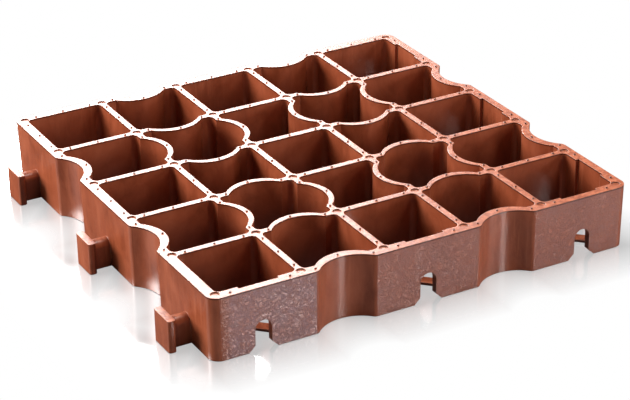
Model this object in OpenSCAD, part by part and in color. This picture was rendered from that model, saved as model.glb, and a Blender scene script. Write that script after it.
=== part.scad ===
// Grass paver grid: one moulded panel of open square cells whose walls run
// straight and waved by turns. Hooks on two sides drop into slots in the two
// opposite sides of the next panel.
// Millimetres. The origin is the middle of the panel on its underside, +Z up.
// The slots face -Y and +X, the hooks face -X and +Y.

/* [Panel] */
// Distance between the middle lines of neighbouring walls
cell_pitch = 96; // [80:1:120]
// Cells along each side, an odd number
cell_count = 5; // [3:2:7]
// Height of the panel from its underside to the rim
panel_height = 72; // [50:1:90]
// How far the outer faces stand outside the outermost middle lines
rim_outside = 10; // [8:0.5:12]
// How far the outer walls reach inside the outermost middle lines
rim_inside = 2; // [1:0.5:3.5]
// Radius of the four outer corners
outer_corner_r = 12.5; // [6:0.5:15]

/* [Walls] */
// Thickness of a straight inner wall
wall_t = 7.2; // [5:0.2:9]
// Thickness of a waved inner wall at the middle of its wave
wave_t = 6.6; // [4.5:0.2:8]
// Thickness of a waved outer wall at the middle of its wave
rim_wave_t = 10; // [7:0.5:12]
// How far the middle line of a wave leaves the line of its wall
wave_sag = 14.5; // [8:0.5:18]
// Radius of the faces of a wave
wave_r = 42; // [36:1:60]
// Radius of the upright corners inside the cells
cell_corner_r = 6.5; // [3:0.5:9]
// Radius that eases the outer edges of a wave into the outer face
cusp_r = 8; // [4:0.5:12]
// Slope of the outer faces in degrees: the panel is narrower at its foot
outer_draft = 1; // [0.25:0.25:1.5]
// Slope of the faces inside the cells in degrees: walls are thicker at their foot
cell_draft = 0.5; // [0.25:0.25:1]

/* [Slots] */
// Width of a slot
slot_w = 19; // [18:0.5:24]
// Height of a slot above the underside, at the top of its arch
slot_h = 34; // [30:1:45]
// Lead-in chamfer at the foot of a slot
slot_lead = 7; // [3:0.5:9]
// Length of the recess behind a slot
recess_l = 45; // [40:1:54]
// Depth of the recess behind a slot
recess_d = 3.5; // [2:0.5:5]

/* [Hooks] */
// Width of the neck of a hook
neck_w = 16.5; // [12:0.5:17]
// Length of the neck between the outer face and the head
neck_l = 19; // [15:0.5:24]
// Height of the neck above the underside, at the top of its round back
neck_h = 31.5; // [24:0.5:33]
// Width of the head of a hook
head_w = 34.5; // [28:0.5:38]
// Thickness of the head of a hook
head_t = 8.6; // [6:0.2:10]
// Height of the head above the underside
head_h = 36; // [28:1:45]
// Radius of the upright edges of the head
head_edge_r = 3; // [1:0.5:4]

/* [Floor cross] */
// Width of the bars that cross each cell at its foot
bar_w = 13; // [8:0.5:15]
// Height of the bars that cross each cell at its foot
bar_h = 3; // [2:0.5:8]

/* [Rim marks] */
// Diameter of the round recess over each crossing
dimple_d = 9.5; // [5:0.5:12]
// Depth of the round recess over each crossing
dimple_depth = 1.3; // [0.5:0.1:3]
// Diameter of the small pegs on the rim
peg_d = 2.4; // [1.6:0.2:4]
// Height of the small pegs on the rim
peg_h = 1.2; // [1:0.2:4]
// Distance of the outer pegs of a wall from the crossing
peg_from_node = 14.5; // [12:0.5:18]

/* [Hidden] */

// Facets of the large arcs and of the small round details, and the sides of
// the pegs, which are too small to need more
$fn = 96;
small_fn = 32;
peg_sides = 8;
// Overrun of every cut past the face that it opens
overrun = 1;
// How far a rounding stands proud of the faces that it joins, so that it
// crosses them at a small angle
proud = 0.05;

last = cell_count;
half_span = cell_pitch * cell_count / 2;
outer_half = half_span + rim_outside;
rim_t = rim_outside + rim_inside;
outer_lean = panel_height * tan(outer_draft);
cell_lean = panel_height * tan(cell_draft);

// Middle of the pegs' row on an outer wall, out from the middle line
slot_rim_peg_out = (rim_outside - rim_inside) / 2;
hook_rim_peg_out = (rim_outside - rim_inside) / 4;

// A line of walls has the numbers 0 to cell_count from left to right or from
// front to back. Waves stand in every second cell along it and bend toward
// the middle of the panel.
function line_at(i) = i * cell_pitch - half_span;
function mid_at(i) = line_at(i) + cell_pitch / 2;
function is_waved(k) = k % 2 == 1;
function bend(line) = line < last / 2 ? 1 : -1;
function is_outer(line) = line == 0 || line == last;

// Distance of a wall's face from its middle line, on the side dir
function face_out(line, dir) =
    line == 0 ? (dir > 0 ? rim_inside : rim_outside)
  : line == last ? (dir < 0 ? rim_inside : rim_outside)
  : wall_t / 2;
// How much a wave is thinner than the straight part of its wall, per face
function thinning(line) =
    is_outer(line) ? (rim_t - rim_wave_t) / 2 : (wall_t - wave_t) / 2;
// Depth of the arc on the hollow side and on the full side of a wave
function hollow_sag(line) = wave_sag + thinning(line);
function full_sag(line) = wave_sag - thinning(line);

// A rectangle from x0 to x1 and y0 to y1 with rounded corners
module round_rect(x0, x1, y0, y1, r) {
    translate([x0 + r, y0]) square([x1 - x0 - 2 * r, y1 - y0]);
    translate([x0, y0 + r]) square([x1 - x0, y1 - y0 - 2 * r]);
    for (x = [x0 + r, x1 - r], y = [y0 + r, y1 - r])
        translate([x, y]) circle(r);
}

// Solids with faces that lean. Each has its named size at the rim, and is
// wider all round by grow at the panel's foot (narrower where grow is less
// than zero). All run over the rim and the foot by the overrun.
function grown(size, grow, z) = size + grow * (panel_height - z) / panel_height;

// A disc round the Z axis
module leaning_disc(r, grow) {
    translate([0, 0, -overrun])
        cylinder(h = panel_height + 2 * overrun,
                 r1 = grown(r, grow, -overrun),
                 r2 = grown(r, grow, panel_height + overrun));
}

// A slab from x0 to x1, endless along Y for the purpose of the panel
module leaning_slab(x0, x1, grow) {
    z0 = -overrun;
    z1 = panel_height + overrun;
    rotate([90, 0, 0])
        linear_extrude(4 * outer_half, center = true)
            polygon([[x0 - grown(0, grow, z0), z0], [x1 + grown(0, grow, z0), z0],
                     [x1 + grown(0, grow, z1), z1], [x0 - grown(0, grow, z1), z1]]);
}

// What is taken off one corner of a block to make it round. The rounding's
// middle is on the Z axis at the rim and the corner points to +X and +Y. The
// rounding keeps its radius and leans with the corner that it follows.
module corner_relief(r, grow) {
    side = r + abs(grow) + overrun;
    translate([0, 0, panel_height])
        rotate(atan(grow * sqrt(2) / panel_height), [1, -1, 0])
            translate([0, 0, -panel_height])
                difference() {
                    translate([0, 0, -2 * overrun])
                        cube([side, side, panel_height + 4 * overrun]);
                    translate([0, 0, -3 * overrun])
                        cylinder(h = panel_height + 6 * overrun, r = r + proud);
                }
}

// A block from x0 to x1 and y0 to y1 with rounded upright corners
module leaning_block(x0, x1, y0, y1, r, grow) {
    difference() {
        intersection() {
            leaning_slab(x0, x1, grow);
            rotate(90) leaning_slab(y0, y1, grow);
        }
        translate([x1 - r, y1 - r, 0]) corner_relief(r, grow);
        translate([x0 + r, y1 - r, 0]) rotate(90) corner_relief(r, grow);
        translate([x0 + r, y0 + r, 0]) rotate(180) corner_relief(r, grow);
        translate([x1 - r, y0 + r, 0]) rotate(270) corner_relief(r, grow);
    }
}

// One side of a cell is waved: the face at the distance f from the cell's
// middle line gets an arc, out of the cell (hollow) or into it (full).
module hollow_arc(f, s) {
    intersection() {
        translate([f - (wave_r - s), 0, 0]) leaning_disc(wave_r, -cell_lean);
        translate([f - s, -wave_r, -2 * overrun])
            cube([s + s, wave_r + wave_r, panel_height + 4 * overrun]);
    }
}
module full_arc(f, s) {
    translate([f + (wave_r - s), 0, 0]) leaning_disc(wave_r, cell_lean);
}

// The side of cell [i, j] that looks along dir on the axis ax has the wall
// line n beside it. Its wave, if any, goes out of the cell when it bends
// away from the cell's middle.
module side_turn(ax, dir) {
    rotate(ax == 0 ? (dir > 0 ? 0 : 180) : (dir > 0 ? 90 : -90)) children();
}
function side_face(n, dir) = cell_pitch / 2 - face_out(n, -dir);

// The open space of one cell
module cell_space(i, j) {
    sides = [[0, -1, i, j], [0, 1, i + 1, j], [1, -1, j, i], [1, 1, j + 1, i]];
    translate([mid_at(i), mid_at(j), 0])
        difference() {
            union() {
                leaning_block(-side_face(i, -1), side_face(i + 1, 1),
                              -side_face(j, -1), side_face(j + 1, 1),
                              cell_corner_r, -cell_lean);
                for (s = sides)
                    if (is_waved(s[3]) && bend(s[2]) == s[1])
                        side_turn(s[0], s[1])
                            hollow_arc(side_face(s[2], s[1]), hollow_sag(s[2]));
            }
            for (s = sides)
                if (is_waved(s[3]) && bend(s[2]) != s[1])
                    side_turn(s[0], s[1])
                        full_arc(side_face(s[2], s[1]), full_sag(s[2]));
        }
}

// Material that is taken off where a hollow of the outer face starts, so
// that the edge is round. The hollow's middle is on the X axis, its disc at
// x = sag - wave_r, and the outer face is the plane x = 0 at the rim.
module cusp_relief(s) {
    disc_x = s - wave_r;
    reach = wave_r + cusp_r;
    round_y = sqrt(reach * reach - (cusp_r - disc_x) * (cusp_r - disc_x));
    disc_dir = [disc_x - cusp_r, -round_y] / reach;
    a = [-overrun, round_y];
    b = [cusp_r, round_y] + disc_dir * (cusp_r + overrun);
    difference() {
        translate([0, 0, -2 * overrun])
            linear_extrude(panel_height + 4 * overrun)
                polygon([[cusp_r, round_y], a, [a[0], b[1]], b]);
        translate([cusp_r, round_y, 0])
            leaning_disc(cusp_r + proud, -outer_lean);
    }
}

// One hollow in an outer face, for the face x = 0 with the panel at x > 0
module outer_hollow(s) {
    translate([s - wave_r, 0, 0]) leaning_disc(wave_r, outer_lean);
    cusp_relief(s);
    mirror([0, 1, 0]) cusp_relief(s);
}

// The panel without its cells
module outer_block() {
    difference() {
        intersection() {
            leaning_block(-outer_half, outer_half, -outer_half, outer_half,
                          outer_corner_r, -outer_lean);
            translate([-2 * outer_half, -2 * outer_half, 0])
                cube([4 * outer_half, 4 * outer_half, panel_height]);
        }
        for (turn = [0 : 90 : 270], k = [0 : last - 1])
            if (is_waved(k))
                rotate(turn)
                    translate([-outer_half, mid_at(k), 0])
                        outer_hollow(hollow_sag(0));
    }
}

// The recess behind a slot, for the wall along the X axis that lies in front
// of the cell
module recess_cut() {
    translate([-recess_l / 2, rim_inside - recess_d, -overrun])
        cube([recess_l, recess_d + cell_lean + overrun,
              panel_height + 2 * overrun]);
}

// Places of the slots, in front and on the right, and of the hooks, on the
// left and behind: the middle of every straight part of the outer walls
module at_slots() {
    for (k = [0 : last - 1])
        if (!is_waved(k)) {
            translate([mid_at(k), -half_span, 0]) children();
            translate([half_span, mid_at(k), 0]) rotate(90) children();
        }
}
module at_hooks() {
    for (k = [0 : last - 1])
        if (!is_waved(k)) {
            translate([-half_span, mid_at(k), 0]) rotate(-90) children();
            translate([mid_at(k), half_span, 0]) rotate(180) children();
        }
}

// Walls of the panel
module walls() {
    difference() {
        outer_block();
        for (i = [0 : last - 1], j = [0 : last - 1]) cell_space(i, j);
        at_slots() recess_cut();
    }
}

// Bars that join the feet of opposite corners of each cell. They run on
// through the crossings as one bar for each diagonal of the panel.
module floor_bars() {
    for (turn = [0, 90], k = [1 - last : last - 1])
        rotate(turn)
            translate([k * cell_pitch / 2, -k * cell_pitch / 2])
                rotate(45)
                    translate([-(last - abs(k)) * cell_pitch * sqrt(2) / 2,
                               -bar_w / 2, 0])
                        cube([(last - abs(k)) * cell_pitch * sqrt(2),
                              bar_w, bar_h]);
}

// Cut of a slot through a wall along the X axis
module slot_cut() {
    slot_r = slot_w / 2;
    translate([0, rim_inside + overrun, 0])
        rotate([90, 0, 0])
            linear_extrude(rim_t + 2 * overrun) {
                translate([0, slot_h - slot_r]) circle(slot_r);
                translate([-slot_r, -overrun])
                    square([slot_w, slot_h - slot_r + overrun]);
                polygon([[-slot_r - slot_lead - overrun, -overrun],
                         [slot_r + slot_lead + overrun, -overrun],
                         [slot_r, slot_lead], [-slot_r, slot_lead]]);
            }
}

// A hook on a wall along the X axis, standing out to -Y
module hook() {
    neck_r = neck_w / 2;
    face_y = -rim_outside;
    sunk = rim_t / 2;
    translate([0, face_y + sunk, 0])
        rotate([90, 0, 0])
            linear_extrude(neck_l + sunk + head_t / 2) {
                translate([0, neck_h - neck_r]) circle(neck_r);
                translate([-neck_r, 0]) square([neck_w, neck_h - neck_r]);
            }
    translate([0, face_y - neck_l - head_t, 0])
        linear_extrude(head_h)
            round_rect(-head_w / 2, head_w / 2, 0, head_t, head_edge_r,
                       $fn = small_fn);
}

// Round recesses over the crossings
module dimples() {
    for (i = [0 : last], j = [0 : last])
        translate([line_at(i), line_at(j), panel_height - dimple_depth])
            cylinder(h = dimple_depth + overrun, d = dimple_d, $fn = small_fn);
}

// Small pegs on the rim of one wall of the line n, in its cell k. The wall
// lies along the X axis and the panel's middle is on the side bend(n). The
// wall behind a slot has none at its middle.
module wall_pegs(n, k, out, has_slot) {
    peg_y = is_outer(n) ? -bend(n) * out : 0;
    places = [-(cell_pitch / 2 - peg_from_node), 0,
              cell_pitch / 2 - peg_from_node];
    for (x = places)
        if (x != 0 || !has_slot || is_waved(k))
            translate([x, peg_y + (x == 0 && is_waved(k)
                                   ? bend(n) * wave_sag : 0),
                       panel_height - overrun])
                cylinder(h = peg_h + overrun, d = peg_d, $fn = peg_sides);
}
module pegs() {
    for (n = [0 : last], k = [0 : last - 1]) {
        translate([mid_at(k), line_at(n), 0])
            wall_pegs(n, k, n == 0 ? slot_rim_peg_out : hook_rim_peg_out,
                      n == 0);
        // the left wall's first cell is kept bare
        if (n > 0 || k > 0)
            translate([line_at(n), mid_at(k), 0])
                mirror([1, -1, 0])
                    wall_pegs(n, k,
                              n == 0 ? hook_rim_peg_out : slot_rim_peg_out,
                              n == last);
    }
}

module paver_grid() {
    color([0.56, 0.27, 0.17])
        difference() {
            union() {
                walls();
                floor_bars();
                at_hooks() hook();
                pegs();
            }
            at_slots() slot_cut();
            dimples();
        }
}

paver_grid();
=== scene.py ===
import math

import bpy
from bpy.props import FloatProperty, FloatVectorProperty, PointerProperty
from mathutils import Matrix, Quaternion, Vector


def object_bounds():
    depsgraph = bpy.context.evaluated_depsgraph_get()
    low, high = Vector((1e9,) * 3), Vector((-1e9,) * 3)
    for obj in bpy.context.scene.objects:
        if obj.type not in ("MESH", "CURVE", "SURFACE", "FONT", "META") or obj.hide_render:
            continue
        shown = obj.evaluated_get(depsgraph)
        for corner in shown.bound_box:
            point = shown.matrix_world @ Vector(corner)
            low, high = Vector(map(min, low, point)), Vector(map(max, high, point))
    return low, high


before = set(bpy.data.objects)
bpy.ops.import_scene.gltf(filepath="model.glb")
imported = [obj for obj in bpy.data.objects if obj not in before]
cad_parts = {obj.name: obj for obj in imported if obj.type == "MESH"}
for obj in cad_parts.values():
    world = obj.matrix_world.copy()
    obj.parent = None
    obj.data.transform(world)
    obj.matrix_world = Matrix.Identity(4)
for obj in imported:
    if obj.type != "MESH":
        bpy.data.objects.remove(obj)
cad_low, cad_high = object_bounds()

bl_info = {
    "name": "Grass Paver Grid",
    "version": (1, 0, 0),
    "blender": (4, 5, 0),
    "location": "3D View > Sidebar > Paver",
    "description": "Gives a moulded grass paver grid its recycled plastic and sets up its studio",
    "category": "Object",
}

PANEL_NODE = "paver_grid"
# Distance between the hooks on one side, and half the width of a hook's head
HOOK_SPACING = 0.192
HOOK_HALF_WIDTH = 0.0172
# Radius and depth of the hollows between them
HOLLOW_RADIUS = 0.042
HOLLOW_DEPTH = 0.0155

# Where the masks of the panel's faces fade in. Of a normal: squarely outward,
# upward, and level. Of a depth behind the outer face: the plain parts of the
# slotted sides, and all outer walls.
SQUARELY_OUT = (0.972, 0.9995)
FACING_UP = (0.7, 0.95)
LEVEL = (0.5, 0.3)
SLOTTED_DEPTH = (0.0045, 0.0025)
OUTER_DEPTH = (0.020, 0.014)
# Of a height, where shade is painted: low in the cells, just under the rims, and on the pegs
PAINTED_SHADE_LOW_IN_CELL = (0.066, 0.012)
PAINTED_SHADE_UNDER_RIM = (0.0700, 0.0706)
PAINTED_SHADE_ON_PEG = (0.0722, 0.0728)
# The painted sheen, laid on as a pale film, thins out along the front, and starts a little past
# the near corner
PAINTED_SHEEN_END = (-0.15, -0.07, 0.95, 0.38)
PAINTED_SHEEN_START = (0.0115, 0.026, 0.15, 1.0)

# Strength and depth of the reliefs in the skin
SWELL = (0.25, 0.0015)
DRAWN = (0.25, 0.0004)
CRACKLE = (0.8, 0.0006)
GRAIN = (0.35, 0.0002)
# Height of the upright streaks, and their share on inner and outer faces
STREAK_HEIGHT = 0.06
STREAK_SHARE, OUTER_STREAK_SHARE = 0.06, 0.24
PLASTIC_IOR = 1.5

FLOOR_HALF_SIZE = 6.0
FLOOR_HEIGHT = -0.0005
# Greys of the floor as it is seen, as it lights the panel, and under the panel, where it is
# darker as painted shade for the cells
FLOOR_GREY, BOUNCE_GREY, PAINTED_SHADE_FLOOR_GREY = 0.8, 0.32, 0.06
FLOOR_ROUGHNESS = 0.12
# Reach over which the floor's shadow fades out
SHADE_REACH = 2.0
# Where the floor's gloss changes by the left face, outside and inside it
GLOSS_OUTSIDE, GLOSS_INSIDE = 0.012, 0.006
# What all lamps aim at, and the place, width and height of each
LAMP_AIM = (0, 0, 0.05)
LAMPS = {
    "back_lamp": ((0.52, 2.26, 1.18), 1.5, 0.8),
    "left_lamp": ((-2.06, 1.19, 1.11), 1.6, 1.2),
    "right_lamp": ((1.82, -1.64, 0.57), 1.4, 0.6),
    "top_lamp": ((0.1, -0.1, 2.4), 0.6, 0.6),
    "strip_lamp": ((0.81, -2.10, 1.10), 0.25, 0.8),
}
SENSOR_WIDTH = 36.0


# ---------------------------------------------------------------- settings

class PlasticSettings(bpy.types.PropertyGroup):
    """Colours and marks of the recycled plastic, with the colours of its painted shade and
    painted sheen.
    """
    base_colour: FloatVectorProperty(
        name="Base colour", description="Colour of the plain plastic",
        subtype="COLOR", size=3, min=0, max=1, default=(0.305, 0.069, 0.026))
    # the pale flow marks' colour also paints sheen on the rims and the slotted sides
    pale_colour: FloatVectorProperty(
        name="Pale colour", description="Colour of the paler flow marks",
        subtype="COLOR", size=3, min=0, max=1, default=(0.46, 0.135, 0.062))
    deep_colour: FloatVectorProperty(
        name="Deep colour", description="Colour of the darker clouds",
        subtype="COLOR", size=3, min=0, max=1, default=(0.215, 0.044, 0.015))
    # painted shade: darkens the walls low in the cells, the line under the rims, the dimple walls
    # and the pegs
    shade_colour: FloatVectorProperty(
        name="Shade",
        description="Plastic low in the cells, just under the rims and on the pegs",
        subtype="COLOR", size=3, min=0, max=1, default=(0.090, 0.015, 0.005))
    # painted sheen: a pale film on the flat faces of the slotted sides
    bloom_colour: FloatVectorProperty(
        name="Bloom colour", description="Colour of the pale bloom on the slotted sides",
        subtype="COLOR", size=3, min=0, max=1, default=(0.46, 0.30, 0.33))
    # partly rubbed wear and partly painted highlight along the edges
    edge_colour: FloatVectorProperty(
        name="Edge colour", description="Colour of the rubbed edges",
        subtype="COLOR", size=3, min=0, max=1, default=(0.68, 0.36, 0.25))
    roughness: FloatProperty(
        name="Roughness", description="Mean roughness of the moulded skin",
        min=0.05, max=1, default=0.35)
    flow_size: FloatProperty(
        name="Flow mark size", description="Width of a swirl of the flow marks",
        subtype="DISTANCE", unit="LENGTH", min=0.005, max=0.2, default=0.030)
    bloom_size: FloatProperty(
        name="Bloom size", description="Width of a patch of the bloom",
        subtype="DISTANCE", unit="LENGTH", min=0.001, max=0.05, default=0.006)
    streak_width: FloatProperty(
        name="Streak width", description="Width of the upright streaks on the outer faces",
        subtype="DISTANCE", unit="LENGTH", min=0.001, max=0.05, default=0.004)
    grain_size: FloatProperty(
        name="Grain size", description="Size of the fine grain of the skin",
        subtype="DISTANCE", unit="LENGTH", min=0.0002, max=0.005, default=0.0009)
    edge_radius: FloatProperty(
        name="Edge radius", description="Radius that softens the moulded edges",
        subtype="DISTANCE", unit="LENGTH", min=0, max=0.003, default=0.0010)


class StudioSettings(bpy.types.PropertyGroup):
    """Floor, lamps and camera."""
    floor_mirror: FloatProperty(
        name="Floor mirror",
        description="Share of the floor's light that is a reflection at the panel's foot",
        min=0, max=1, default=0.45)
    floor_shade: FloatProperty(
        name="Floor shade",
        description="Share of the floor by the panel that takes its shadow",
        min=0, max=1, default=0.10)
    side_fade: FloatProperty(
        name="Side fade",
        description="Distance beside the panel over which the reflection fades out",
        subtype="DISTANCE", unit="LENGTH", min=0.01, max=1, default=0.055)
    front_fade: FloatProperty(
        name="Front fade",
        description="Distance before the panel over which the reflection fades out",
        subtype="DISTANCE", unit="LENGTH", min=0.01, max=1, default=0.062)
    back_lamp: FloatProperty(
        name="Back lamp", description="Strength of the large lamp behind the panel",
        subtype="POWER", min=0, max=500, default=95)
    left_lamp: FloatProperty(
        name="Left lamp", description="Strength of the lamp on the left",
        subtype="POWER", min=0, max=500, default=105)
    right_lamp: FloatProperty(
        name="Right lamp", description="Strength of the low lamp on the right in front",
        subtype="POWER", min=0, max=500, default=27)
    top_lamp: FloatProperty(
        name="Top lamp", description="Strength of the lamp above",
        subtype="POWER", min=0, max=500, default=40)
    strip_lamp: FloatProperty(
        name="Strip lamp", description="Strength of the narrow upright lamp in front",
        subtype="POWER", min=0, max=500, default=13)
    sky: FloatProperty(
        name="Sky", description="Strength of the even light from all round",
        min=0, max=2, default=0.05)
    sky_mirror: FloatProperty(
        name="Mirrored sky",
        description="Brightness of the surroundings as the panel mirrors them",
        min=0, max=1, default=0.1)
    floor_glow: FloatProperty(
        name="Floor glow", description="Brightness of the floor itself as the panel mirrors it",
        min=0, max=1, default=0.02)
    floor_gloss: FloatProperty(
        name="Floor gloss",
        description="Share of the lamps' light that the floor in front mirrors to the panel",
        min=0, max=1, default=1.0)
    side_gloss: FloatProperty(
        name="Side gloss", description="The same share on the left of the panel",
        min=0, max=1, default=0.06)
    lens: FloatProperty(
        name="Lens", description="Focal length on a sensor 36 mm wide",
        min=20, max=300, default=129.8)
    camera_place: FloatVectorProperty(
        name="Camera place", description="Where the camera stands",
        subtype="TRANSLATION", unit="LENGTH", size=3, default=(-1.0900, -1.9969, 1.1404))
    camera_aim: FloatVectorProperty(
        name="Camera aim", description="Point in the middle of the picture",
        subtype="TRANSLATION", unit="LENGTH", size=3, default=(-0.0201, -0.0458, 0.0360))
    camera_roll: FloatProperty(
        name="Camera roll", description="Turn of the camera about its line of sight",
        subtype="ANGLE", default=math.radians(-0.960))


# ---------------------------------------------------------------- node tools

def new_group(name, inputs, outputs):
    """Makes an empty shader group with the named sockets."""
    group = bpy.data.node_groups.new(name, "ShaderNodeTree")
    for label, kind, value in inputs:
        socket = group.interface.new_socket(name=label, in_out="INPUT", socket_type=kind)
        socket.default_value = value
    for label, kind in outputs:
        group.interface.new_socket(name=label, in_out="OUTPUT", socket_type=kind)
    return group, group.nodes.new("NodeGroupInput"), group.nodes.new("NodeGroupOutput")


def add(tree, kind, settings=None, **sockets):
    """Adds a node, sets its fields and sets or links its inputs."""
    node = tree.nodes.new(kind)
    for field, value in (settings or {}).items():
        setattr(node, field, value)
    for label, value in sockets.items():
        plug(tree, node, label.replace("_", " "), value)
    return node


def plug(tree, node, label, value):
    """Links a socket to an input, or sets the input's value."""
    socket = node.inputs[int(label)] if label.isdigit() else node.inputs[label]
    if isinstance(value, bpy.types.NodeSocket):
        tree.links.new(value, socket)
    else:
        socket.default_value = value


def maths(tree, operation, a, b=0.0, c=0.0):
    """One Math node, and its result."""
    node = add(tree, "ShaderNodeMath", {"operation": operation})
    for i, value in enumerate((a, b, c)):
        plug(tree, node, str(i), value)
    return node.outputs[0]


def vector_maths(tree, operation, *values):
    """One Vector Math node."""
    node = add(tree, "ShaderNodeVectorMath", {"operation": operation})
    for i, value in enumerate(values):
        plug(tree, node, str(i), value)
    return node


def widest(tree, *values):
    """The greatest of some values."""
    value = values[0]
    for other in values[1:]:
        value = maths(tree, "MAXIMUM", value, other)
    return value


def remap(tree, value, low, high, to_low=0.0, to_high=1.0):
    """A smooth Map Range, and its result."""
    node = add(tree, "ShaderNodeMapRange", {"interpolation_type": "SMOOTHSTEP"})
    for label, item in (("Value", value), ("From Min", low), ("From Max", high),
                        ("To Min", to_low), ("To Max", to_high)):
        plug(tree, node, label, item)
    return node.outputs["Result"]


def blend(tree, factor, a, b):
    """A colour Mix node, and its result."""
    node = add(tree, "ShaderNodeMix", {"data_type": "RGBA"})
    plug(tree, node, "0", factor)
    for socket, value in ((node.inputs[6], a), (node.inputs[7], b)):
        if isinstance(value, bpy.types.NodeSocket):
            tree.links.new(value, socket)
        else:
            socket.default_value = (*value, 1.0)
    return node.outputs[2]


# ---------------------------------------------------------------- plastic

def flow_marks_group():
    """Swirls that the melt leaves in the skin of a moulding."""
    group, given, made = new_group(
        "Flow marks",
        [("Position", "NodeSocketVector", (0, 0, 0)),
         ("Size", "NodeSocketFloat", 0.03),
         ("Stretch", "NodeSocketFloat", 1.0)],
        [("Clouds", "NodeSocketFloat"), ("Veins", "NodeSocketFloat")])
    per_size = maths(group, "DIVIDE", 1.0, given.outputs["Size"])
    stretch = add(group, "ShaderNodeCombineXYZ", X=1.0, Y=1.0, Z=given.outputs["Stretch"])
    place = vector_maths(group, "MULTIPLY", given.outputs["Position"], stretch.outputs[0])
    warp = add(group, "ShaderNodeTexNoise", Vector=place.outputs[0], Detail=2.0, Roughness=0.5,
               Scale=maths(group, "MULTIPLY", per_size, 0.6))
    shift = vector_maths(group, "SUBTRACT", warp.outputs["Color"], (0.5, 0.5, 0.5))
    wide = maths(group, "MULTIPLY", given.outputs["Size"], 2.2)
    size3 = add(group, "ShaderNodeCombineXYZ", X=wide, Y=wide, Z=wide)
    pushed = vector_maths(group, "MULTIPLY_ADD", shift.outputs[0], size3.outputs[0],
                          place.outputs[0])
    clouds = add(group, "ShaderNodeTexNoise", Vector=pushed.outputs[0], Scale=per_size,
                 Detail=4.0, Roughness=0.55)
    veins = add(group, "ShaderNodeTexNoise", Vector=pushed.outputs[0],
                Scale=maths(group, "MULTIPLY", per_size, 2.2),
                Detail=5.0, Roughness=0.6, Distortion=0.8)
    ridge = maths(group, "ABSOLUTE", maths(group, "SUBTRACT", veins.outputs[0], 0.5))
    group.links.new(clouds.outputs[0], made.inputs["Clouds"])
    group.links.new(remap(group, ridge, 0.0, 0.07, 1.0, 0.0), made.inputs["Veins"])
    return group


def faces_group():
    """Masks of the rims, the slotted sides and the painted sheen on them, the outer faces, the
    lower walls of the cells, which take painted shade, and the line just under the rims with the
    pegs on them, which take a painted shadow."""
    group, given, made = new_group(
        "Faces of the panel",
        [("Position", "NodeSocketVector", (0, 0, 0)), ("Normal", "NodeSocketVector", (0, 0, 1))],
        [("Rims", "NodeSocketFloat"), ("Slotted Sides", "NodeSocketFloat"),
         ("Bloom", "NodeSocketFloat"), ("Outer Sides", "NodeSocketFloat"),
         ("Low Walls", "NodeSocketFloat"), ("Under Rims", "NodeSocketFloat")])
    place = add(group, "ShaderNodeSeparateXYZ", Vector=given.outputs["Position"])
    turn = add(group, "ShaderNodeSeparateXYZ", Vector=given.outputs["Normal"])
    x, y, z = (place.outputs[axis] for axis in "XYZ")
    face = cad_high.x

    def behind_face(along, depths):
        return remap(group, along, *(face - depth for depth in depths))

    front, to_front = (maths(group, "MULTIPLY", value, -1.0) for value in (turn.outputs["Y"], y))
    slotted = widest(group, *(
        maths(group, "MULTIPLY", remap(group, facing, *SQUARELY_OUT),
              behind_face(along, SLOTTED_DEPTH))
        for facing, along in ((front, to_front), (turn.outputs["X"], x))))
    past_corner = [-face + inset for inset in PAINTED_SHEEN_START[:2]]
    by_corner = maths(group, "MINIMUM", remap(group, x, *PAINTED_SHEEN_END),
                      remap(group, x, *past_corner, *PAINTED_SHEEN_START[2:]))
    outer = behind_face(widest(group, maths(group, "ABSOLUTE", x), maths(group, "ABSOLUTE", y)),
                        OUTER_DEPTH)
    upright = remap(group, maths(group, "ABSOLUTE", turn.outputs["Z"]), *LEVEL)
    outward = vector_maths(group, "DOT_PRODUCT", given.outputs["Position"],
                           given.outputs["Normal"])
    outside = maths(group, "MULTIPLY", outer,
                    maths(group, "GREATER_THAN", outward.outputs["Value"], 0.0))
    # painted shade: upright walls darker towards the bottom of the cells, not on the outer faces
    low = maths(group, "MULTIPLY", upright, remap(group, z, *PAINTED_SHADE_LOW_IN_CELL))
    # painted shadow: a dark line along the tops of the upright walls just under the rims, which
    # also darkens the dimple walls
    line = maths(group, "MULTIPLY", upright, remap(group, z, *PAINTED_SHADE_UNDER_RIM))
    for label, mask in (
            ("Rims", remap(group, turn.outputs["Z"], *FACING_UP)),
            ("Slotted Sides", slotted),
            ("Bloom", maths(group, "MULTIPLY", slotted, by_corner)),
            ("Outer Sides", outer),
            ("Low Walls", maths(group, "MULTIPLY", low,
                                maths(group, "SUBTRACT", 1.0, outside))),
            ("Under Rims", widest(group, line, remap(group, z, *PAINTED_SHADE_ON_PEG)))):
        group.links.new(mask, made.inputs[label])
    return group


def stretched(tree, place, across, up):
    """A position scaled for marks of the width across and the height up."""
    return vector_maths(tree, "DIVIDE", place, (across, across, up)).outputs[0]


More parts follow.
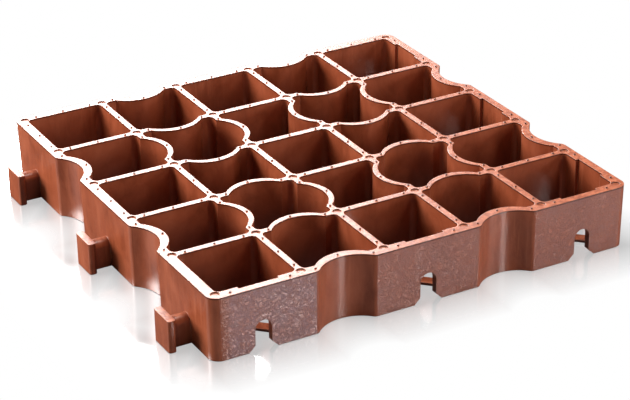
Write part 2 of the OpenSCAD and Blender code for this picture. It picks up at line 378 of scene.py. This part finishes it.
def plastic_material(settings):
    """Red-brown recycled plastic with a moulded skin, with painted shade and painted sheen in its
    colour.
    """
    material = bpy.data.materials.new("Recycled plastic")
    material.use_nodes = True
    tree = material.node_tree
    tree.nodes.clear()
    output = tree.nodes.new("ShaderNodeOutputMaterial")
    skin = tree.nodes.new("ShaderNodeBsdfPrincipled")
    tree.links.new(skin.outputs[0], output.inputs[0])

    place = tree.nodes.new("ShaderNodeTexCoord").outputs["Object"]
    geometry = tree.nodes.new("ShaderNodeNewGeometry")
    faces = add(tree, "ShaderNodeGroup", {"node_tree": faces_group()},
                Position=place, Normal=geometry.outputs["True Normal"])
    rims, slotted, painted_sheen_mask, outer, low, under = (
        faces.outputs[n] for n in ("Rims", "Slotted Sides", "Bloom", "Outer Sides",
                                   "Low Walls", "Under Rims"))
    marks = flow_marks_group()
    flow = add(tree, "ShaderNodeGroup", {"node_tree": marks},
               Position=place, Size=settings.flow_size, Stretch=0.6)
    clouds, veins = flow.outputs["Clouds"], flow.outputs["Veins"]
    # the same fine marks give the crackle relief and the patches of painted sheen
    frost = add(tree, "ShaderNodeGroup", {"node_tree": marks},
                Position=place, Size=settings.bloom_size, Stretch=1.0)
    frost_clouds, frost_veins = frost.outputs["Clouds"], frost.outputs["Veins"]
    streaks = add(tree, "ShaderNodeTexNoise", Scale=1.0, Detail=3.0, Roughness=0.6,
                  Vector=stretched(tree, place, settings.streak_width,
                                   STREAK_HEIGHT)).outputs[0]

    # colour: clouds of deeper and paler plastic, streaks up the walls, slotted sides and rims
    # made paler as painted sheen, painted shade low in the cells, and painted sheen as a pale
    # film with fine veins on the outer faces of the slotted sides
    colour = blend(tree, remap(tree, clouds, 0.30, 0.62),
                   settings.deep_colour, settings.base_colour)
    colour = blend(tree, remap(tree, clouds, 0.52, 0.80, 0.0, 0.35), colour, settings.pale_colour)
    colour = blend(tree, maths(tree, "MULTIPLY", veins, 0.10), colour, settings.pale_colour)
    streaked = maths(tree, "MULTIPLY", remap(tree, streaks, 0.48, 0.72),
                     maths(tree, "MULTIPLY_ADD", outer, OUTER_STREAK_SHARE, STREAK_SHARE))
    colour = blend(tree, streaked, colour, settings.pale_colour)
    # painted sheen: the flat faces of the slotted sides paler
    colour = blend(tree, maths(tree, "MULTIPLY", slotted, 0.45), colour, settings.pale_colour)
    # painted sheen: the rims paler in patches
    patches = remap(tree, frost_clouds, 0.42, 0.60, 0.1, 1.0)
    colour = blend(tree, maths(tree, "MULTIPLY", rims, patches), colour, settings.pale_colour)
    # painted shade low in the cells
    colour = blend(tree, maths(tree, "MULTIPLY", low, 0.75), colour, settings.shade_colour)
    # painted sheen on the slotted sides, fading along the front
    bloom = maths(tree, "MULTIPLY_ADD", frost_veins, 0.38,
                  remap(tree, frost_clouds, 0.38, 0.62, 0.26, 0.44))
    colour = blend(tree, maths(tree, "MULTIPLY", bloom, painted_sheen_mask), colour, settings.bloom_colour)

    # paler edges, partly rubbed wear and partly painted highlight, and the painted shade of the
    # line just under the rims and of the pegs over them
    rounded = add(tree, "ShaderNodeBevel", {"samples": 6}, Radius=settings.edge_radius)
    bent = vector_maths(tree, "DOT_PRODUCT", rounded.outputs[0], geometry.outputs["True Normal"])
    edge = remap(tree, bent.outputs["Value"], 0.97, 0.80, 0.0, 0.55)
    colour = blend(tree, edge, colour, settings.edge_colour)
    # painted shadow under the rims and painted shade in the dimples and on the pegs
    colour = blend(tree, maths(tree, "MULTIPLY", under, 0.9), colour, settings.shade_colour)
    tree.links.new(colour, skin.inputs["Base Color"])

    grain = add(tree, "ShaderNodeTexNoise", Vector=place, Scale=1.0 / settings.grain_size,
                Detail=3.0, Roughness=0.6).outputs[0]
    rough = maths(tree, "MULTIPLY_ADD", clouds, 0.16, settings.roughness - 0.12)
    rough = maths(tree, "MULTIPLY_ADD", grain, 0.08, rough)
    rough = maths(tree, "MULTIPLY_ADD", slotted, -0.03, rough)
    tree.links.new(rough, skin.inputs["Roughness"])

    normal = rounded.outputs[0]
    for (strength, depth), height in (
            (SWELL, clouds),
            (DRAWN, maths(tree, "MULTIPLY", streaks, outer)),
            (CRACKLE, maths(tree, "MULTIPLY", frost_veins, slotted)),
            (GRAIN, grain)):
        normal = add(tree, "ShaderNodeBump", Strength=strength, Distance=depth,
                     Height=height, Normal=normal).outputs[0]
    tree.links.new(normal, skin.inputs["Normal"])
    skin.inputs["IOR"].default_value = PLASTIC_IOR
    return material


class PAVER_OT_plastic(bpy.types.Operator):
    """Gives the moulded panel its recycled plastic"""
    bl_idname = "paver.plastic"
    bl_label = "Finish the Panel"

    def execute(self, context):
        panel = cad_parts[PANEL_NODE]
        material = plastic_material(context.scene.paver_plastic)
        for slot in panel.material_slots:
            slot.material = material
        return {"FINISHED"}


# ---------------------------------------------------------------- studio

def flat_sheet(name, half_size, height):
    """A level square round the origin."""
    mesh = bpy.data.meshes.new(name)
    corners = [(x * half_size, y * half_size, height)
               for x, y in ((-1, -1), (1, -1), (1, 1), (-1, 1))]
    mesh.from_pydata(corners, [], [(0, 1, 2, 3)])
    sheet = bpy.data.objects.new(name, mesh)
    bpy.context.scene.collection.objects.link(sheet)
    return sheet


def reach_group():
    """How far a spot of the floor lies from the panel and from its hooks, as a
    share of the distances over which the floor's reflection fades."""
    group, given, made = new_group(
        "Reach from the panel",
        [("Position", "NodeSocketVector", (0, 0, 0)),
         ("Side Fade", "NodeSocketFloat", 0.04),
         ("Front Fade", "NodeSocketFloat", 0.08)],
        [("Reach", "NodeSocketFloat")])
    axes = add(group, "ShaderNodeSeparateXYZ", Vector=given.outputs["Position"])
    x, y = axes.outputs["X"], axes.outputs["Y"]
    side, front = given.outputs["Side Fade"], given.outputs["Front Fade"]
    face = cad_high.x

    def past(value, edge, fade):
        return maths(group, "DIVIDE", maths(group, "SUBTRACT", value, edge), fade)

    def face_beside(along):
        """Where the outer face stands: a wave hollows it out by turns."""
        from_wave = maths(group, "PINGPONG", maths(group, "ADD", along, HOOK_SPACING / 2),
                          HOOK_SPACING / 2)
        room = maths(group, "SUBTRACT", HOLLOW_RADIUS ** 2,
                     maths(group, "MULTIPLY", from_wave, from_wave))
        arc = maths(group, "SQRT", maths(group, "MAXIMUM", room, 0.0))
        depth = maths(group, "SUBTRACT", arc, HOLLOW_RADIUS - HOLLOW_DEPTH)
        return maths(group, "SUBTRACT", face, maths(group, "MAXIMUM", depth, 0.0))

    panel = widest(group, past(maths(group, "ABSOLUTE", x), face_beside(y), side),
                   past(maths(group, "ABSOLUTE", y), face_beside(x), front))
    hooks = []
    for out, along, out_fade, along_fade in (
            (maths(group, "MULTIPLY", x, -1.0), y, side, front), (y, x, front, side)):
        near = maths(group, "PINGPONG", along, HOOK_SPACING / 2)
        hooks.append(widest(group, past(out, -cad_low.x, out_fade),
                            past(maths(group, "MULTIPLY", out, -1.0), -face, out_fade),
                            past(near, HOOK_HALF_WIDTH, along_fade),
                            past(maths(group, "ABSOLUTE", along),
                                 HOOK_SPACING + HOOK_HALF_WIDTH,
                                 along_fade)))
    reach = maths(group, "MINIMUM", panel, maths(group, "MINIMUM", hooks[0], hooks[1]))
    group.links.new(maths(group, "MAXIMUM", reach, 0.0), made.inputs["Reach"])
    return group


def floor_material(settings):
    """Pale glossy floor that fades to plain white away from the panel."""
    material = bpy.data.materials.new("Pale floor")
    material.use_nodes = True
    tree = material.node_tree
    tree.nodes.clear()
    output = tree.nodes.new("ShaderNodeOutputMaterial")
    place = tree.nodes.new("ShaderNodeNewGeometry").outputs["Position"]
    path = tree.nodes.new("ShaderNodeLightPath")
    reach = add(tree, "ShaderNodeGroup", {"node_tree": reach_group()}, Position=place,
                Side_Fade=settings.side_fade, Front_Fade=settings.front_fade).outputs[0]

    # what the camera sees: white, with a reflection and a soft shadow by the panel
    by_camera, by_gloss = path.outputs["Is Camera Ray"], path.outputs["Is Glossy Ray"]
    near = maths(tree, "MAXIMUM", maths(tree, "SUBTRACT", 1.0, reach), 0.0)
    axes = add(tree, "ShaderNodeSeparateXYZ", Vector=place)
    gloss = remap(tree, axes.outputs["X"],
                  -cad_high.x - GLOSS_OUTSIDE, -cad_high.x + GLOSS_INSIDE,
                  settings.side_gloss, settings.floor_gloss)
    share = widest(tree, maths(tree, "MULTIPLY", by_camera,
                               maths(tree, "MULTIPLY", near, settings.floor_mirror)),
                   maths(tree, "MULTIPLY", by_gloss, gloss))
    shade = maths(tree, "MULTIPLY", by_camera,
                  remap(tree, reach, 0.0, SHADE_REACH, settings.floor_shade, 0.0))
    # what the panel mirrors: a dim floor with the lamps in its gloss
    inside = maths(tree, "MULTIPLY", *(
        maths(tree, "LESS_THAN", maths(tree, "ABSOLUTE", axes.outputs[axis]), cad_high.x)
        for axis in "XY"))
    glow = maths(tree, "MAXIMUM", settings.floor_glow, by_camera)
    white = add(tree, "ShaderNodeEmission", Color=(1, 1, 1, 1), Strength=glow)
    mirror = add(tree, "ShaderNodeBsdfGlossy", Color=(1, 1, 1, 1), Roughness=FLOOR_ROUGHNESS)
    matt = add(tree, "ShaderNodeBsdfDiffuse", Color=(*[FLOOR_GREY] * 3, 1))
    # painted shade: the floor under the panel is darker for bounce light, which darkens the cells
    bounce = add(tree, "ShaderNodeBsdfDiffuse",
                 Color=blend(tree, inside, [BOUNCE_GREY] * 3, [PAINTED_SHADE_FLOOR_GREY] * 3))
    seen = widest(tree, by_camera, by_gloss, path.outputs["Is Transmission Ray"])

    def mix(factor, first, second):
        node = tree.nodes.new("ShaderNodeMixShader")
        plug(tree, node, "0", factor)
        tree.links.new(first.outputs[0], node.inputs[1])
        tree.links.new(second.outputs[0], node.inputs[2])
        return node

    shown = mix(share, mix(shade, white, matt), mirror)
    tree.links.new(mix(seen, bounce, shown).outputs[0], output.inputs[0])
    return material


def studio_world(settings):
    """Even grey light, plain white where it is seen, dimmer where it is mirrored."""
    world = bpy.data.worlds.new("Studio")
    world.use_nodes = True
    tree = world.node_tree
    tree.nodes.clear()
    output = tree.nodes.new("ShaderNodeOutputWorld")
    path = tree.nodes.new("ShaderNodeLightPath")
    seen = maths(tree, "MAXIMUM", path.outputs["Is Camera Ray"],
                 path.outputs["Is Transmission Ray"])
    mirrored = maths(tree, "MULTIPLY", path.outputs["Is Glossy Ray"], settings.sky_mirror)
    strength = widest(tree, seen, mirrored, settings.sky)
    sky = add(tree, "ShaderNodeBackground", Color=(1, 1, 1, 1), Strength=strength)
    tree.links.new(sky.outputs[0], output.inputs[0])
    bpy.context.scene.world = world


def lamp(name, place, width, height, power):
    """A soft rectangular lamp that looks at the panel."""
    light = bpy.data.lights.new(name, "AREA")
    light.shape, light.size, light.size_y = "RECTANGLE", width, height
    light.energy = power
    holder = bpy.data.objects.new(name, light)
    holder.location = place
    away = Vector(place) - Vector(LAMP_AIM)
    holder.rotation_mode = "QUATERNION"
    holder.rotation_quaternion = away.to_track_quat("Z", "Y")
    bpy.context.scene.collection.objects.link(holder)


def camera(settings):
    """The camera, at the photograph's angle."""
    lens = bpy.data.cameras.new("Camera")
    lens.lens, lens.sensor_width = settings.lens, SENSOR_WIDTH
    lens.clip_start, lens.clip_end = 0.1, 50.0
    holder = bpy.data.objects.new("Camera", lens)
    place, aim = Vector(settings.camera_place), Vector(settings.camera_aim)
    look = (place - aim).to_track_quat("Z", "Y")
    roll = Quaternion((0, 0, 1), settings.camera_roll)
    holder.rotation_mode = "QUATERNION"
    holder.location = place
    holder.rotation_quaternion = look @ roll
    bpy.context.scene.collection.objects.link(holder)
    bpy.context.scene.camera = holder


class PAVER_OT_studio(bpy.types.Operator):
    """Sets up the floor, the lamps and the camera"""
    bl_idname = "paver.studio"
    bl_label = "Set Up the Studio"

    def execute(self, context):
        settings = context.scene.paver_studio
        context.scene.view_settings.view_transform = "Standard"
        floor = flat_sheet("floor", FLOOR_HALF_SIZE, FLOOR_HEIGHT)
        floor.data.materials.append(floor_material(settings))
        studio_world(settings)
        for field, (place, width, height) in LAMPS.items():
            name = field.replace("_", " ").capitalize()
            lamp(name, place, width, height, getattr(settings, field))
        camera(settings)
        return {"FINISHED"}


# ---------------------------------------------------------------- add-on

class PAVER_PT_sidebar(bpy.types.Panel):
    """Sizes, colours and steps of the paver"""
    bl_label = "Grass Paver Grid"
    bl_idname = "PAVER_PT_sidebar"
    bl_space_type = "VIEW_3D"
    bl_region_type = "UI"
    bl_category = "Paver"

    def draw(self, context):
        for settings, step in ((context.scene.paver_plastic, PAVER_OT_plastic),
                               (context.scene.paver_studio, PAVER_OT_studio)):
            box = self.layout.box()
            for field in settings.bl_rna.properties:
                if not field.is_readonly and field.identifier != "name":
                    box.prop(settings, field.identifier)
            box.operator(step.bl_idname)


CLASSES = (PlasticSettings, StudioSettings, PAVER_OT_plastic, PAVER_OT_studio,
           PAVER_PT_sidebar)


def register():
    for item in CLASSES:
        bpy.utils.register_class(item)
    bpy.types.Scene.paver_plastic = PointerProperty(type=PlasticSettings)
    bpy.types.Scene.paver_studio = PointerProperty(type=StudioSettings)


def unregister():
    del bpy.types.Scene.paver_studio
    del bpy.types.Scene.paver_plastic
    for item in reversed(CLASSES):
        bpy.utils.unregister_class(item)


def main():
    register()
    bpy.ops.paver.plastic()
    bpy.ops.paver.studio()
    bpy.context.view_layer.update()


if __name__ == "__main__":
    main()
